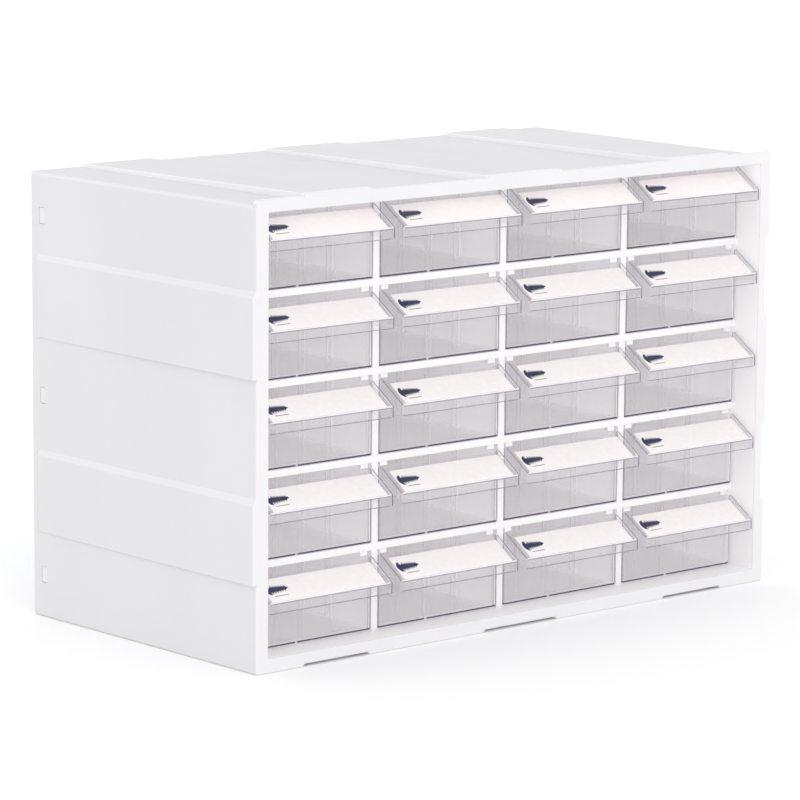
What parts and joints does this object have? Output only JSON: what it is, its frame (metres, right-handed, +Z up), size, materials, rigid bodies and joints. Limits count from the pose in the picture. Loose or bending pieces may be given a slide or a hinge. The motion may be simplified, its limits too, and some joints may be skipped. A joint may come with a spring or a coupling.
{
  "type": "parts organizer",
  "caption": "Benchtop parts cabinet: a light grey moulded case with stacking bands and a grid of clear pull-out drawers, each with a sloping label holder.",
  "frame": {"origin": "centre of the bounding box's bottom face, on the surface that the cabinet stands on", "axes": "+Z up, +X along the long side, -Y out of the front where the drawers open"},
  "size_m": [0.4416, 0.226, 0.2915],
  "materials": {
    "shell": "fine satin moulded texture",
    "rack": "smooth satin",
    "clear_drawer": "clear, polished",
    "card": "matt paper card"
  },
  "bodies": {
    "case": {"case_shell": "shell", "shelf_1": "rack", "shelf_2": "rack", "shelf_3": "rack", "shelf_4": "rack", "upright_1": "rack", "upright_2": "rack", "upright_3": "rack", "side_panel_left": "rack", "side_panel_right": "rack", "base_shelf": "rack", "top_stop_rail": "rack", "back_cover": "shell"},
    "drawer_r1_c1": {"drawer_r1_c1": "clear_drawer", "label_card_r1_c1": "card"},
    "drawer_r1_c2": {"drawer_r1_c2": "clear_drawer", "label_card_r1_c2": "card"},
    "drawer_r1_c3": {"drawer_r1_c3": "clear_drawer", "label_card_r1_c3": "card"},
    "drawer_r1_c4": {"drawer_r1_c4": "clear_drawer", "label_card_r1_c4": "card"},
    "drawer_r2_c1": {"drawer_r2_c1": "clear_drawer", "label_card_r2_c1": "card"},
    "drawer_r2_c2": {"drawer_r2_c2": "clear_drawer", "label_card_r2_c2": "card"},
    "drawer_r2_c3": {"drawer_r2_c3": "clear_drawer", "label_card_r2_c3": "card"},
    "drawer_r2_c4": {"drawer_r2_c4": "clear_drawer", "label_card_r2_c4": "card"},
    "drawer_r3_c1": {"drawer_r3_c1": "clear_drawer", "label_card_r3_c1": "card"},
    "drawer_r3_c2": {"drawer_r3_c2": "clear_drawer", "label_card_r3_c2": "card"},
    "drawer_r3_c3": {"drawer_r3_c3": "clear_drawer", "label_card_r3_c3": "card"},
    "drawer_r3_c4": {"drawer_r3_c4": "clear_drawer", "label_card_r3_c4": "card"},
    "drawer_r4_c1": {"drawer_r4_c1": "clear_drawer", "label_card_r4_c1": "card"},
    "drawer_r4_c2": {"drawer_r4_c2": "clear_drawer", "label_card_r4_c2": "card"},
    "drawer_r4_c3": {"drawer_r4_c3": "clear_drawer", "label_card_r4_c3": "card"},
    "drawer_r4_c4": {"drawer_r4_c4": "clear_drawer", "label_card_r4_c4": "card"},
    "drawer_r5_c1": {"drawer_r5_c1": "clear_drawer", "label_card_r5_c1": "card"},
    "drawer_r5_c2": {"drawer_r5_c2": "clear_drawer", "label_card_r5_c2": "card"},
    "drawer_r5_c3": {"drawer_r5_c3": "clear_drawer", "label_card_r5_c3": "card"},
    "drawer_r5_c4": {"drawer_r5_c4": "clear_drawer", "label_card_r5_c4": "card"}
  },
  "joints": [
    {"name": "slide_r1_c1", "type": "slide", "parent": "case", "child": "drawer_r1_c1", "axis": [0, -1, 0], "range_m": [0, 0.193]},
    {"name": "slide_r1_c2", "type": "slide", "parent": "case", "child": "drawer_r1_c2", "axis": [0, -1, 0], "range_m": [0, 0.193]},
    {"name": "slide_r1_c3", "type": "slide", "parent": "case", "child": "drawer_r1_c3", "axis": [0, -1, 0], "range_m": [0, 0.193]},
    {"name": "slide_r1_c4", "type": "slide", "parent": "case", "child": "drawer_r1_c4", "axis": [0, -1, 0], "range_m": [0, 0.193]},
    {"name": "slide_r2_c1", "type": "slide", "parent": "case", "child": "drawer_r2_c1", "axis": [0, -1, 0], "range_m": [0, 0.193]},
    {"name": "slide_r2_c2", "type": "slide", "parent": "case", "child": "drawer_r2_c2", "axis": [0, -1, 0], "range_m": [0, 0.193]},
    {"name": "slide_r2_c3", "type": "slide", "parent": "case", "child": "drawer_r2_c3", "axis": [0, -1, 0], "range_m": [0, 0.193]},
    {"name": "slide_r2_c4", "type": "slide", "parent": "case", "child": "drawer_r2_c4", "axis": [0, -1, 0], "range_m": [0, 0.193]},
    {"name": "slide_r3_c1", "type": "slide", "parent": "case", "child": "drawer_r3_c1", "axis": [0, -1, 0], "range_m": [0, 0.193]},
    {"name": "slide_r3_c2", "type": "slide", "parent": "case", "child": "drawer_r3_c2", "axis": [0, -1, 0], "range_m": [0, 0.193]},
    {"name": "slide_r3_c3", "type": "slide", "parent": "case", "child": "drawer_r3_c3", "axis": [0, -1, 0], "range_m": [0, 0.193]},
    {"name": "slide_r3_c4", "type": "slide", "parent": "case", "child": "drawer_r3_c4", "axis": [0, -1, 0], "range_m": [0, 0.193]},
    {"name": "slide_r4_c1", "type": "slide", "parent": "case", "child": "drawer_r4_c1", "axis": [0, -1, 0], "range_m": [0, 0.193]},
    {"name": "slide_r4_c2", "type": "slide", "parent": "case", "child": "drawer_r4_c2", "axis": [0, -1, 0], "range_m": [0, 0.193]},
    {"name": "slide_r4_c3", "type": "slide", "parent": "case", "child": "drawer_r4_c3", "axis": [0, -1, 0], "range_m": [0, 0.193]},
    {"name": "slide_r4_c4", "type": "slide", "parent": "case", "child": "drawer_r4_c4", "axis": [0, -1, 0], "range_m": [0, 0.193]},
    {"name": "slide_r5_c1", "type": "slide", "parent": "case", "child": "drawer_r5_c1", "axis": [0, -1, 0], "range_m": [0, 0.193]},
    {"name": "slide_r5_c2", "type": "slide", "parent": "case", "child": "drawer_r5_c2", "axis": [0, -1, 0], "range_m": [0, 0.193]},
    {"name": "slide_r5_c3", "type": "slide", "parent": "case", "child": "drawer_r5_c3", "axis": [0, -1, 0], "range_m": [0, 0.193]},
    {"name": "slide_r5_c4", "type": "slide", "parent": "case", "child": "drawer_r5_c4", "axis": [0, -1, 0], "range_m": [0, 0.193]}
  ]
}
